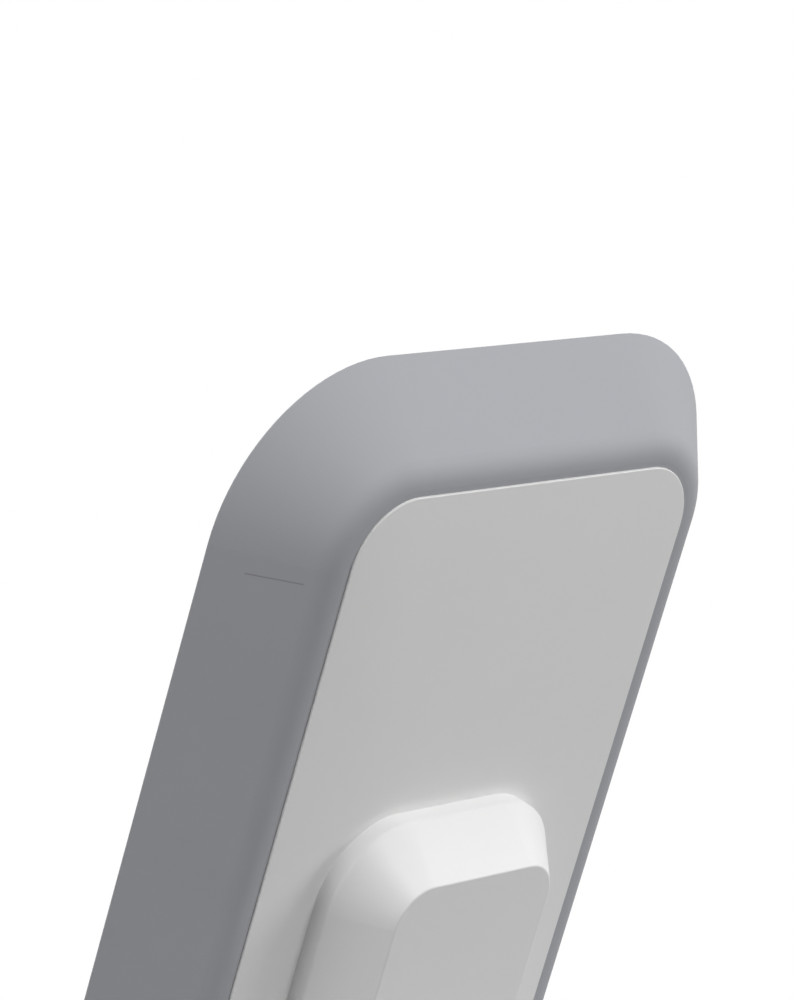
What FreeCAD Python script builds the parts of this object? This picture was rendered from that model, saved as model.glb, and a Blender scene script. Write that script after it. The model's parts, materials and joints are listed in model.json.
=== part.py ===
import FreeCAD, Part
import math
import os
import re
import Sketcher

# Wireless charging stand: a grey charging pad leans back on the arm of a white base.
# The frame has +Z up, the charging face looks towards -Y, the origin is under the middle of the base.

doc = FreeCAD.newDocument("charging_stand")
vector = FreeCAD.Vector
along_x = vector(1, 0, 0)
along_z = vector(0, 0, 1)
near = 1e-3  # two places closer than this are the same

# driving dimensions in millimetres and degrees
dimensions = [
    ("lean", 21, "lean of the pad from upright, degrees"),
    ("pad_width", 81.5, "front outline of the pad"),
    ("pad_length", 132, "front outline of the pad"),
    ("pad_corner", 20.75, "corner radius of the front outline"),
    ("pad_land", 0.2, "upright land behind the front edge"),
    ("pad_foot_y", -25, "front lower edge of the pad, from the middle of the base"),
    ("pad_gap", 3, "front lower edge of the pad above the base"),
    ("shell_depth", 9.9, "front edge of the pad to the shell's rear"),
    ("shell_wall", 1.8, "wall of the shell's sides"),
    ("rear_wall", 2.2, "rear wall of the shell"),
    ("side_inset", 9.95, "sloped sides of the shell, inwards"),
    ("rear_round", 4.5, "fillet between the sloped sides and the rear"),
    ("front_soft", 0.15, "softening of the shell's front edge"),
    ("plate_soft", 0.1, "softening of the rear plate's edge"),
    ("edge_soft", 0.35, "softening of the outer edges of arm, lip and feet"),
    ("crease_soft", 0.6, "softening of the arm's and the base's creases"),
    ("plate_inset", 12.6, "rear plate inside the front outline"),
    ("plate_thick", 1.2, "rear plate"),
    ("plate_proud", 0.2, "rear plate above the shell's rear"),
    ("fit_gap", 0.1, "gap round a part that is let in"),
    ("rim", 2.6, "shell's rim round the front cover"),
    ("cover_thick", 1.6, "front cover"),
    ("ledge_width", 46, "ledge under the charging face"),
    ("ledge_up", 0.2, "ledge above the cover's lower edge"),
    ("ledge_reach", 15, "ledge in front of the face"),
    ("ledge_thick", 3.2, "ledge"),
    ("ledge_corner", 7, "front corners of the ledge"),
    ("lip_height", 2.6, "lip at the front of the ledge"),
    ("lip_thick", 2.2, "lip at the front of the ledge"),
    ("grip_thick", 0.9, "soft grips"),
    ("grip_sunk", 0.5, "soft grips below the surface that holds them"),
    ("face_grip_width", 52, "outline of the ring on the face"),
    ("face_grip_length", 92, "outline of the ring on the face"),
    ("face_grip_band", 3.4, "band of the ring on the face"),
    ("face_grip_corner", 14, "corner radius of the ring on the face"),
    ("ledge_grip_edge", 2, "ledge round its grip"),
    ("coil_outer", 40, "coil"),
    ("coil_inner", 19, "coil"),
    ("coil_thick", 1, "coil"),
    ("ferrite_thick", 0.6, "ferrite disc"),
    ("coil_gap", 0.7, "coil to the wall of its pocket"),
    ("coil_web", 1.6, "tray between the two pockets"),
    ("tray_edge", 3, "tray outside the pockets"),
    ("tray_floor", 0.6, "tray under the ferrite discs"),
    ("tray_gap", 0.1, "front cover to tray"),
    ("tray_corner", 6, "corner radius of the tray"),
    ("spreader_thick", 0.5, "heat spreader"),
    ("boss_wide", 5, "bosses for the small screws"),
    ("boss_inset", 4, "tray bosses inside the tray's outline"),
    ("cover_post_x", 14, "posts of the front cover from the middle"),
    ("cover_post_gap", 1.3, "posts of the front cover to the tray"),
    ("post_joint", 3, "length of the cover's posts"),
    ("small_screw", 2, "shank of the small screws"),
    ("small_head", 3.6, "head of the small screws"),
    ("small_head_high", 1.1, "head of the small screws"),
    ("screw_room", 0.4, "clearance hole over the shank or the head"),
    ("pilot_room", 0.02, "pilot hole over the shank"),
    ("screw_bite", 1.6, "small screws into their bosses"),
    ("arm_width", 36.8, "arm on the rear plate"),
    ("arm_drop", 53.4, "top of the arm below the top of the pad"),
    ("arm_corner", 10.1, "upper corners of the arm"),
    ("arm_wall_high", 2.2, "upright wall of the arm"),
    ("arm_slope_high", 5.95, "sloped wall of the arm, off the plate"),
    ("arm_slope_inset", 5.2, "sloped wall of the arm, inwards"),
    ("arm_sunk", 5, "arm below the pad's lower edge, inside the base"),
    ("arm_blend", 4, "fillet between arm and base"),
    ("arm_skin", 2, "walls of the arm"),
    ("channel_low", 16, "lower end of the arm's channel, along the pad"),
    ("arm_screw", 2.6, "shank of the arm screws"),
    ("arm_head", 5, "head of the arm screws"),
    ("arm_head_high", 1.6, "head of the arm screws"),
    ("arm_screw_x", 8.5, "arm screws from the middle"),
    ("arm_screw_low", 11, "lower arm screws above the channel's lower end"),
    ("arm_screw_high", 13.4, "upper arm screws below the arm's top"),
    ("arm_boss", 6, "bosses for the arm screws"),
    ("arm_bite", 5, "arm screws into their bosses"),
    ("base_length", 90, "base, front to rear"),
    ("base_corner", 22, "corner radius of the base"),
    ("base_wall_high", 6.2, "upright wall of the base"),
    ("base_slope_high", 5.6, "sloped wall of the base, upwards"),
    ("base_slope_inset", 5, "sloped wall of the base, inwards"),
    ("base_skin", 2.2, "walls of the base"),
    ("base_cover_thick", 2, "cover under the base"),
    ("base_screw_gap", 1.5, "bosses of the base screws to the control board"),
    ("base_screw_edge", 7, "base screws from the base's ends"),
    ("base_boss", 6, "bosses for the base screws"),
    ("foot_wide", 11, "rubber foot"),
    ("foot_high", 1.2, "rubber foot below the base"),
    ("foot_sunk", 0.8, "rubber foot inside the cover"),
    ("foot_edge", 1.5, "rubber foot to the base's wall, at the corner"),
    ("ballast_side", 4.75, "steel bar from the base's side"),
    ("ballast_end", 18, "steel bar from the base's ends"),
    ("ballast_inside", 3.45, "steel bar from the control board"),
    ("ballast_high", 5, "steel bar"),
    ("ballast_corner", 3, "steel bar"),
    ("board_width", 28, "control board"),
    ("board_front_gap", 8, "front edge of the control board from the base's front"),
    ("board_wall_gap", 1.6, "control board to the rear wall"),
    ("board_thick", 1, "control board"),
    ("board_screw_x", 11, "board screws from the middle"),
    ("board_screw_front", 6, "front board screws from the board's front edge"),
    ("board_screw_rear", 13.2, "rear board screws from the board's rear edge"),
    ("inlet_width", 8.94, "power inlet"),
    ("inlet_high", 3.26, "power inlet"),
    ("inlet_long", 7.4, "power inlet"),
    ("inlet_skin", 0.3, "sheet of the power inlet"),
    ("inlet_sunk", 0.5, "mouth of the power inlet behind the base's rear"),
    ("inlet_room", 0.25, "base round the power inlet"),
    ("inlet_above_cover", 0.25, "power inlet above the base cover"),
    ("tongue_width", 6.6, "tongue of the power inlet"),
    ("tongue_thick", 0.7, "tongue of the power inlet"),
    ("tongue_short", 1, "tongue behind the inlet's mouth"),
    ("chip_side", 5, "controller chip"),
    ("chip_thick", 0.9, "controller and driver chips"),
    ("chip_pitch", 9, "controller chip to driver chip"),
    ("chip_y", 2, "middle of the chips from the middle of the base"),
    ("capacitor_width", 5, "film capacitor"),
    ("capacitor_long", 6.4, "film capacitor"),
    ("capacitor_high", 2.4, "film capacitor"),
    ("capacitor_gap", 1.2, "between film capacitors"),
    ("capacitor_y", 13, "front of the first film capacitors"),
    ("inductor_side", 6.6, "power inductor"),
    ("inductor_high", 2.6, "power inductor"),
    ("inductor_y", 24, "middle of the power inductor"),
    ("inductor_corner", 1.2, "power inductor"),
    ("lamp_width", 3, "status lamp"),
    ("lamp_long", 1.4, "status lamp"),
    ("lamp_high", 1.2, "status lamp"),
    ("guide_width", 4.4, "light guide"),
    ("guide_high", 1.6, "light guide"),
    ("guide_gap", 0.2, "status lamp to light guide, and guide to its hole"),
    ("lead_wide", 2.4, "inner lead"),
    ("lead_inside", 3.2, "middle of the inner lead behind the rear plate"),
    ("lead_drop", 20, "where the inner lead turns into the pad, below the pad's middle"),
    ("lead_bend_low", 4.2, "bend of the inner lead under the arm"),
    ("lead_bend_high", 3.4, "bend of the inner lead into the pad"),
    ("lead_hole", 4.4, "hole for the inner lead in shell and plate"),
    ("passage_width", 12, "passage from the base into the arm"),
    ("passage_thick", 4, "passage from the base into the arm"),
    ("passage_corner", 1.6, "passage from the base into the arm"),
    ("plug_width", 8, "plugs of the inner lead"),
    ("plug_long", 5, "plugs of the inner lead"),
    ("plug_high", 2.6, "plugs of the inner lead"),
    ("plug_room", 8, "lead plug in front of the arm's passage"),
    ("coil_plug_high", 2.3, "coil plug"),
    ("base_bite", 4, "base screws into their bosses"),
    ("board_corner", 1, "corner radius of the control board"),
    ("inlet_corner", 1.4, "corner radius of the power inlet"),
    ("tongue_corner", 0.2, "corner radius of the inlet's tongue"),
    ("lamp_corner", 0.2, "corner radius of the status lamp"),
    ("guide_corner", 0.6, "corner radius of the light guide"),
    ("plug_corner", 0.5, "corner radius of the lead's plugs"),
]
sheet = doc.addObject("Spreadsheet::Sheet", "dims")
for row, (alias, size, note) in enumerate(dimensions, 1):
    sheet.set(f"A{row}", note)
    sheet.set(f"B{row}", str(size))
    sheet.setAlias(f"B{row}", alias)
doc.recompute()
aliases = {alias for alias, size, note in dimensions}

# sizes and places that follow from the driving dimensions
base_width = "pad_width"
base_top = "(foot_high + base_wall_high + base_slope_high)"
base_height = "(base_wall_high + base_slope_high)"
ceiling = f"({base_top} - base_skin)"
cover_top = "(foot_high + base_cover_thick)"
pad_foot_z = f"({base_top} + pad_gap)"
pad_middle = "(pad_length / 2)"
lead_exit = f"({pad_middle} - lead_drop)"
floor_depth = "(shell_depth - rear_wall)"
plate_back = "(shell_depth + plate_proud)"
plate_front = f"({plate_back} - plate_thick)"
side_slope = "(side_inset / (shell_depth - pad_land))"
cavity_inset = f"((cover_thick - pad_land) * {side_slope} + shell_wall * sqrt(1 + {side_slope} ^ 2))"
pocket_wide = "(coil_outer + 2 * coil_gap)"
coil_pitch = f"({pocket_wide} + coil_web)"
tray_width = f"({pocket_wide} + 2 * tray_edge)"
tray_length = f"({pocket_wide} + {coil_pitch} + 2 * tray_edge)"
tray_thick = "(coil_thick + ferrite_thick + tray_floor + tray_gap)"
tray_front = "(cover_thick + tray_gap)"
tray_back = f"({tray_front} + {tray_thick})"
spreader_back = f"({tray_back} + spreader_thick)"
arm_height = "(arm_wall_high + arm_slope_high)"
arm_top = "(pad_length - arm_drop)"
ballast_width = f"({base_width} / 2 - board_width / 2 - ballast_inside - ballast_side)"
ballast_length = "(base_length - 2 * ballast_end)"
ballast_x = f"({base_width} / 2 - ballast_side - {ballast_width} / 2)"
foot_reach = "((base_corner - base_skin - foot_edge - foot_wide / 2) / sqrt(2))"
foot_x = f"({base_width} / 2 - base_corner + {foot_reach})"
foot_y = f"(base_length / 2 - base_corner + {foot_reach})"
board_low = f"({cover_top} + inlet_above_cover + inlet_high)"
board_high = f"({board_low} + board_thick)"
board_front = "(base_length / 2 - board_front_gap)"
board_rear = "(base_length / 2 - base_skin - board_wall_gap)"
lead_height = f"({board_high} + plug_high / 2)"
lead_depth = f"({plate_back} + lead_inside)"
post_reach = f"({tray_length} / 2 + cover_post_gap + boss_wide / 2)"
cover_posts = [
    (f"{sign} * cover_post_x", place_along)
    for sign in (-1, 1)
    for place_along in (f"{pad_middle} - {post_reach}", f"{pad_middle} + {post_reach}")
]
tray_bosses = [
    (
        f"{sign} * ({tray_width} / 2 - boss_inset)",
        f"{pad_middle} + {end} * ({tray_length} / 2 - boss_inset)",
    )
    for sign in (-1, 1)
    for end in (-1, 1)
]
arm_bosses = [
    (f"{sign} * arm_screw_x", place_along)
    for sign in (-1, 1)
    for place_along in ("channel_low + arm_screw_low", f"{arm_top} - arm_screw_high")
]
board_bosses = [
    (f"{sign} * board_screw_x", place_along)
    for sign in (-1, 1)
    for place_along in (f"board_screw_front - {board_front}", f"{board_rear} - board_screw_rear")
]
base_bosses = [
    (
        f"{sign} * (board_width / 2 + base_screw_gap + base_boss / 2)",
        f"{end} * (base_length / 2 - base_screw_edge)",
    )
    for sign in (-1, 1)
    for end in (-1, 1)
]
pad_frame = (("0", "pad_foot_y", pad_foot_z), "90 - lean")


def pad_spot(along, depth):
    # a point in the stand's frame, from its place along the pad and its depth behind the front edge
    return (
        "0",
        f"pad_foot_y + ({along}) * sin(lean * 1 deg) + ({depth}) * cos(lean * 1 deg)",
        f"{pad_foot_z} + ({along}) * cos(lean * 1 deg) - ({depth}) * sin(lean * 1 deg)",
    )


def expression(text):
    return re.sub(r"[a-z_]+", lambda word: f"dims.{word[0]}" if word[0] in aliases else word[0], text)


def value(text):
    return float(sheet.evalExpression(expression(text)))


def spot(where):
    return vector(*[value(text) for text in where])


def hollow(body, where, outline, straight, slope_high, tilt, turn="0", reverse=False):
    # a pocket with upright sides up to the height straight, and sides that draw in above it
    for length, taper, start in ((straight, None, "0"), (slope_high, tilt, straight)):
        sketch = new_sketch(body, where(start), turn)
        rounded_rectangle(sketch, *outline)
        feature(body, "Pocket", sketch, length, reverse, taper)


def even_wall(high, slope_high, slope_inset, skin):
    # upright height, slope height and tilt of the inside that keeps an even wall under a sloped shoulder
    tilt = f"atan({slope_inset} / {slope_high})"
    straight = f"({high} - {skin} * tan({tilt} / 2))"
    return straight, f"({high} + {slope_high} - {skin} - {straight})", tilt


def place(item, where, turn="0", axis=along_x, prop="Placement"):
    setattr(item, prop, FreeCAD.Placement(spot(where), FreeCAD.Rotation(axis, value(turn))))
    for letter, text in zip("xyz", where):
        item.setExpression(f"{prop}.Base.{letter}", expression(text))
    if turn != "0":
        item.setExpression(f"{prop}.Rotation.Angle", expression(f"({turn}) * 1 deg"))


def new_body(label, frame=None):
    body = doc.addObject("PartDesign::Body", label)
    body.Label = label
    if frame:
        place(body, *frame)
    return body


def new_sketch(body, where=("0", "0", "0"), turn="0", axis=along_x, plane="XY_Plane"):
    sketch = body.newObject("Sketcher::SketchObject", f"{body.Label}_sketch")
    support = next(item for item in body.Origin.OriginFeatures if item.Role == plane)
    sketch.AttachmentSupport = [(support, "")]
    sketch.MapMode = "FlatFace"
    place(sketch, where, turn, axis, "AttachmentOffset")
    return sketch


def bind(sketch, constraint, text):
    number = sketch.addConstraint(constraint)
    name = f"size{number}"
    sketch.renameConstraint(number, name)
    sketch.setExpression(f"Constraints.{name}", expression(text))


def pin_point(sketch, geometry, point, x, y):
    for kind, axis, text in (("DistanceX", -2, x), ("DistanceY", -1, y)):
        if value(text) == 0:
            sketch.addConstraint(Sketcher.Constraint("PointOnObject", geometry, point, axis))
        else:
            bind(sketch, Sketcher.Constraint(kind, -1, 1, geometry, point, value(text)), text)


def rounded_rectangle(sketch, width, length, radius):
    # centred on the sketch's origin
    half_x = value(width) / 2 - value(radius)
    half_y = value(length) / 2 - value(radius)
    first = sketch.GeometryCount
    corners = [vector(x * half_x, y * half_y) for x, y in ((1, 1), (-1, 1), (-1, -1), (1, -1))]
    arcs = []
    for quarter, corner in enumerate(corners):
        start = quarter * math.pi / 2
        circle = Part.Circle(corner, along_z, value(radius))
        arcs.append(Part.ArcOfCircle(circle, start, start + math.pi / 2))
    lines = [Part.LineSegment(arcs[i].EndPoint, arcs[(i + 1) % 4].StartPoint) for i in range(4)]
    sketch.addGeometry(arcs + lines, False)
    arc = [first + i for i in range(4)]
    line = [first + 4 + i for i in range(4)]
    for i in range(4):
        sketch.addConstraint(Sketcher.Constraint("Tangent", arc[i], 2, line[i], 1))
        sketch.addConstraint(Sketcher.Constraint("Tangent", line[i], 2, arc[(i + 1) % 4], 1))
        sketch.addConstraint(Sketcher.Constraint(("Horizontal", "Vertical")[i % 2], line[i]))
        if i:
            sketch.addConstraint(Sketcher.Constraint("Equal", arc[0], arc[i]))
    sketch.addConstraint(Sketcher.Constraint("Symmetric", arc[0], 3, arc[2], 3, -1, 1))
    bind(sketch, Sketcher.Constraint("Radius", arc[0], value(radius)), radius)
    bind(sketch, Sketcher.Constraint("DistanceX", line[1], 1, line[3], 1, value(width)), width)
    bind(sketch, Sketcher.Constraint("DistanceY", line[2], 1, line[0], 1, value(length)), length)


def circle(sketch, wide, x="0", y="0"):
    number = sketch.addGeometry(Part.Circle(vector(value(x), value(y)), along_z, value(wide) / 2), False)
    bind(sketch, Sketcher.Constraint("Diameter", number, value(wide)), wide)
    pin_point(sketch, number, 3, x, y)


def polygon(sketch, points):
    spots = [vector(value(x), value(y)) for x, y in points]
    count = len(spots)
    first = sketch.GeometryCount
    sketch.addGeometry([Part.LineSegment(spots[i], spots[(i + 1) % count]) for i in range(count)], False)
    for i in range(count):
        following = first + (i + 1) % count
        sketch.addConstraint(Sketcher.Constraint("Coincident", first + i, 2, following, 1))
        pin_point(sketch, first + i, 1, *points[i])


def feature(body, kind, sketch, length, reverse=False, taper=None):
    # a pad or pocket, its sides drawing in by the taper
    made = body.newObject(f"PartDesign::{kind}", f"{body.Label}_{kind.lower()}")
    made.Profile = sketch
    made.setExpression("Length", expression(length))
    made.Reversed = reverse
    if taper:
        made.setExpression("TaperAngle", expression(f"-({taper})"))
    return made


def edges_where(made, test):
    # names of the edges that pass the test at their ends and middle
    doc.recompute()
    names = []
    for number, edge in enumerate(made.Shape.Edges, 1):
        if all(test(point) for point in edge.discretize(3)):
            names.append(f"Edge{number}")
    return names


def at_height(height):
    level = value(height)
    return lambda point: abs(point.z - level) < near


def fillet(body, made, names, radius):
    rounded = body.newObject("PartDesign::Fillet", f"{body.Label}_fillet")
    rounded.Base = (made, names)
    rounded.setExpression("Radius", expression(radius))
    return rounded


def chamfer(body, made, names, down, inward):
    sloped = body.newObject("PartDesign::Chamfer", f"{body.Label}_chamfer")
    sloped.Base = (made, names)
    sloped.setExpression("Size", expression(down))
    sloped.ChamferType = "Two distances"
    sloped.setExpression("Size2", expression(inward))
    return sloped


def circles(body, kind, where, wide, spots, length, reverse=False):
    # a pad or pocket of equal circles
    sketch = new_sketch(body, where)
    for x, y in spots:
        circle(sketch, wide, x, y)
    return feature(body, kind, sketch, length, reverse)


def block(label, sizes, corner):
    box = doc.addObject("Part::Box", label)
    for prop, text in zip(("Length", "Width", "Height"), sizes):
        box.setExpression(prop, expression(text))
    place(box, corner)
    return box


def cylinder(label, wide, high, where):
    rod = doc.addObject("Part::Cylinder", label)
    rod.setExpression("Radius", expression(f"({wide}) / 2"))
    rod.setExpression("Height", expression(high))
    place(rod, where)
    return rod


def group(label, pieces, frame=None):
    together = doc.addObject("Part::Compound", label)
    together.Label = label
    together.Links = pieces
    if frame:
        place(together, *frame)
    return together


def screws(label, spots, shank, head, sizes, downward=True, frame=None):
    # equal screws, heads at the height head, shanks pointing down or up from it
    shank_wide, head_wide, head_high = sizes
    pieces = []
    for number, (x, y) in enumerate(spots):
        head_low = head if downward else f"{head} - {head_high}"
        shank_low = f"{head} - ({shank})" if downward else head
        top = cylinder(f"{label}_head{number}", head_wide, head_high, (x, y, head_low))
        rod = cylinder(f"{label}_shank{number}", shank_wide, shank, (x, y, shank_low))
        screw = doc.addObject("Part::Fuse", f"{label}_{number}")
        screw.Base = top
        screw.Tool = rod
        pieces.append(screw)
    return group(label, pieces, frame)


# the grey shell: sides sloped towards the rear, rear edge rounded, then hollowed from the front
pad_shell = new_body("pad_shell", pad_frame)
outline = new_sketch(pad_shell, ("0", pad_middle, "0"))
rounded_rectangle(outline, "pad_width", "pad_length", "pad_corner")
made = feature(pad_shell, "Pad", outline, "shell_depth", reverse=True)
rear_edge = edges_where(made, at_height("-shell_depth"))
made = chamfer(pad_shell, made, rear_edge, "shell_depth - pad_land", "side_inset")
made = fillet(pad_shell, made, edges_where(made, at_height("-shell_depth")), "rear_round")
made = fillet(pad_shell, made, edges_where(made, at_height("0")), "front_soft")
recess = new_sketch(pad_shell, ("0", pad_middle, "0"))
rounded_rectangle(recess, "pad_width - 2 * rim", "pad_length - 2 * rim", "pad_corner - rim")
feature(pad_shell, "Pocket", recess, "cover_thick")
cavity = new_sketch(pad_shell, ("0", pad_middle, "-cover_thick"))
cavity_sizes = [f"{size} - 2 * {cavity_inset}" for size in ("pad_width", "pad_length")]
rounded_rectangle(cavity, *cavity_sizes, f"pad_corner - {cavity_inset}")
feature(pad_shell, "Pocket", cavity, f"{floor_depth} - cover_thick", taper=f"atan({side_slope})")
plate_recess = new_sketch(pad_shell, ("0", pad_middle, "-shell_depth"))
plate_edge = "(plate_inset - fit_gap)"
recess_sizes = [f"{size} - 2 * {plate_edge}" for size in ("pad_width", "pad_length")]
rounded_rectangle(plate_recess, *recess_sizes, f"pad_corner - {plate_edge}")
feature(pad_shell, "Pocket", plate_recess, "plate_thick - plate_proud", reverse=True)
on_floor = ("0", "0", f"-{floor_depth}")
tray_boss_high = f"{floor_depth} - {spreader_back}"
cover_post_high = f"{floor_depth} - cover_thick - post_joint"
circles(pad_shell, "Pad", on_floor, "boss_wide", tray_bosses, tray_boss_high)
circles(pad_shell, "Pad", on_floor, "boss_wide", cover_posts, cover_post_high)
pilot = "small_screw + 2 * pilot_room"
on_bosses = ("0", "0", f"-{spreader_back}")
circles(pad_shell, "Pocket", on_bosses, pilot, tray_bosses, "screw_bite + small_head_high")
on_recess = ("0", "0", f"-{plate_front}")
head_hole = "small_head + screw_room"
screw_hole = "small_screw + screw_room"
arm_hole = "arm_screw + screw_room"
cover_head_depth = f"{plate_front} - {floor_depth} + small_head_high"
circles(pad_shell, "Pocket", on_recess, head_hole, cover_posts, cover_head_depth, reverse=True)
circles(pad_shell, "Pocket", on_recess, screw_hole, cover_posts, plate_front, reverse=True)
circles(pad_shell, "Pocket", on_recess, arm_hole, arm_bosses, plate_front, reverse=True)
circles(pad_shell, "Pocket", on_recess, "lead_hole", [("0", lead_exit)], plate_front, reverse=True)

# the white plate let into the shell's rear
rear_plate = new_body("rear_plate", pad_frame)
plate_outline = new_sketch(rear_plate, ("0", pad_middle, f"-{plate_front}"))
plate_sizes = [f"{size} - 2 * plate_inset" for size in ("pad_width", "pad_length")]
rounded_rectangle(plate_outline, *plate_sizes, "pad_corner - plate_inset")
made = feature(rear_plate, "Pad", plate_outline, "plate_thick", reverse=True)
fillet(rear_plate, made, edges_where(made, at_height(f"-{plate_back}")), "plate_soft")
on_plate = ("0", "0", f"-{plate_front}")
circles(rear_plate, "Pocket", on_plate, arm_hole, arm_bosses, "plate_thick")
circles(rear_plate, "Pocket", on_plate, "lead_hole", [("0", lead_exit)], "plate_thick")

# the charging face with its ledge, lip and screw posts
front_cover = new_body("front_cover", pad_frame)
face = new_sketch(front_cover, ("0", pad_middle, "0"))
cover_sizes = [f"{size} - 2 * (rim + fit_gap)" for size in ("pad_width", "pad_length")]
rounded_rectangle(face, *cover_sizes, "pad_corner - rim - fit_gap")
feature(front_cover, "Pad", face, "cover_thick", reverse=True)
ledge_low = "(rim + fit_gap + ledge_up)"
ledge_top = f"({ledge_low} + ledge_thick)"
ledge_side = new_sketch(front_cover, ("0", "0", "-ledge_width / 2"), plane="YZ_Plane")
ledge_points = [
    (ledge_low, "0"),
    (ledge_low, "ledge_reach"),
    (f"{ledge_top} + lip_height", "ledge_reach"),
    (f"{ledge_top} + lip_height", "ledge_reach - lip_thick"),
    (ledge_top, "ledge_reach - lip_thick"),
    (ledge_top, "0"),
]
polygon(ledge_side, ledge_points)
made = feature(front_cover, "Pad", ledge_side, "ledge_width")


def ledge_front_corner(point):
    reach = abs(point.z - value("ledge_reach")) < near
    return reach and abs(abs(point.x) - value("ledge_width") / 2) < near


made = fillet(front_cover, made, edges_where(made, ledge_front_corner), "ledge_corner")


def lip_top(point):
    return abs(point.y - value(f"{ledge_top} + lip_height")) < near


made = fillet(front_cover, made, edges_where(made, lip_top), "lip_thick / 2 - edge_soft")
behind_face = ("0", "0", "-cover_thick")
circles(front_cover, "Pad", behind_face, "boss_wide", cover_posts, "post_joint", reverse=True)
post_end = ("0", "0", "-cover_thick - post_joint")
circles(front_cover, "Pocket", post_end, pilot, cover_posts, "post_joint", reverse=True)
groove = new_sketch(front_cover, ("0", pad_middle, "0"))
grip_outline = ("face_grip_width", "face_grip_length", "face_grip_corner")
grip_inside = [f"face_grip_{size} - 2 * face_grip_band" for size in ("width", "length")]
grip_inside.append("face_grip_corner - face_grip_band")
rounded_rectangle(groove, *grip_outline)
rounded_rectangle(groove, *grip_inside)
feature(front_cover, "Pocket", groove, "grip_sunk")
ledge_grip_width = "ledge_width - 2 * ledge_corner"
ledge_grip_long = "(ledge_reach - lip_thick - 2 * ledge_grip_edge)"
ledge_grip_middle = f"(ledge_grip_edge + {ledge_grip_long} / 2)"
grip_seat = ("0", ledge_grip_middle, f"-{ledge_top}")
seat = new_sketch(front_cover, grip_seat, plane="XZ_Plane")
rounded_rectangle(seat, ledge_grip_width, ledge_grip_long, "ledge_grip_edge")
feature(front_cover, "Pocket", seat, "grip_sunk", reverse=True)

face_grip = new_body("face_grip", pad_frame)
ring = new_sketch(face_grip, ("0", pad_middle, "-grip_sunk"))
rounded_rectangle(ring, *grip_outline)
rounded_rectangle(ring, *grip_inside)
feature(face_grip, "Pad", ring, "grip_thick")

ledge_grip = new_body("ledge_grip", pad_frame)
strip = new_sketch(ledge_grip, ("0", ledge_grip_middle, f"-({ledge_top} - grip_sunk)"), plane="XZ_Plane")
rounded_rectangle(strip, ledge_grip_width, ledge_grip_long, "ledge_grip_edge")
feature(ledge_grip, "Pad", strip, "grip_thick", reverse=True)

# two coils on ferrite discs in a tray
coil_tray = new_body("coil_tray", pad_frame)
tray_outline = new_sketch(coil_tray, ("0", pad_middle, f"-{tray_front}"))
rounded_rectangle(tray_outline, tray_width, tray_length, "tray_corner")
feature(coil_tray, "Pad", tray_outline, tray_thick, reverse=True)
coil_spots = {
    "upper": f"{pad_middle} + {coil_pitch} / 2",
    "lower": f"{pad_middle} - {coil_pitch} / 2",
}
pockets = [("0", coil_at) for coil_at in coil_spots.values()]
on_tray = ("0", "0", f"-{tray_front}")
circles(coil_tray, "Pocket", on_tray, pocket_wide, pockets, f"{tray_thick} - tray_floor")
circles(coil_tray, "Pocket", on_tray, head_hole, tray_bosses, "small_head_high + tray_gap")
circles(coil_tray, "Pocket", on_tray, screw_hole, tray_bosses, tray_thick)
for side, coil_at in coil_spots.items():
    ferrite = new_body(f"ferrite_{side}", pad_frame)
    disc_at = ("0", "0", f"-({tray_back} - tray_floor)")
    circles(ferrite, "Pad", disc_at, f"{pocket_wide} - 2 * fit_gap", [("0", coil_at)], "ferrite_thick")
    coil = new_body(f"coil_{side}", pad_frame)
    winding = new_sketch(coil, ("0", coil_at, f"-({tray_back} - tray_floor - ferrite_thick)"))
    circle(winding, "coil_outer")
    circle(winding, "coil_inner")
    feature(coil, "Pad", winding, "coil_thick")

heat_spreader = new_body("heat_spreader", pad_frame)
sheet_outline = new_sketch(heat_spreader, ("0", pad_middle, f"-{tray_back}"))
rounded_rectangle(sheet_outline, tray_width, tray_length, "tray_corner")
feature(heat_spreader, "Pad", sheet_outline, "spreader_thick", reverse=True)
on_spreader = ("0", "0", f"-{tray_back}")
circles(heat_spreader, "Pocket", on_spreader, screw_hole, tray_bosses, "spreader_thick")

small_sizes = ("small_screw", "small_head", "small_head_high")
arm_sizes = ("arm_screw", "arm_head", "arm_head_high")
tray_head = f"-({tray_front} + small_head_high + tray_gap)"
tray_shank = f"{spreader_back} + {tray_head} + screw_bite"
screws("tray_screws", tray_bosses, tray_shank, tray_head, small_sizes, frame=pad_frame)
cover_shank = f"{floor_depth} - small_head_high - cover_thick - post_joint + screw_bite"
cover_head = f"-({floor_depth} - small_head_high)"
screws("cover_screws", cover_posts, cover_shank, cover_head, small_sizes, downward=False, frame=pad_frame)
arm_shank = f"{plate_back} - {floor_depth} + arm_bite"
screws("arm_screws", arm_bosses, arm_shank, f"-{floor_depth}", arm_sizes, frame=pad_frame)

# the white moulding: base with a sloped shoulder, and the arm that rises from it along the rear plate
stand_shell = new_body("stand_shell")
base_outline = new_sketch(stand_shell, ("0", "0", "foot_high"))
rounded_rectangle(base_outline, base_width, "base_length", "base_corner")
made = feature(stand_shell, "Pad", base_outline, base_height)
shoulder = edges_where(made, at_height(base_top))
made = chamfer(stand_shell, made, shoulder, "base_slope_high", "base_slope_inset")
arm_plane = pad_spot(f"({arm_top} - arm_sunk) / 2", plate_back)
arm_outline = new_sketch(stand_shell, arm_plane, "90 - lean")
rounded_rectangle(arm_outline, "arm_width", f"{arm_top} + arm_sunk", "arm_corner")
made = feature(stand_shell, "Pad", arm_outline, arm_height, reverse=True)
arm_frame = FreeCAD.Placement(spot(pad_spot("0", "0")), FreeCAD.Rotation(along_x, value("90 - lean")))


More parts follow.
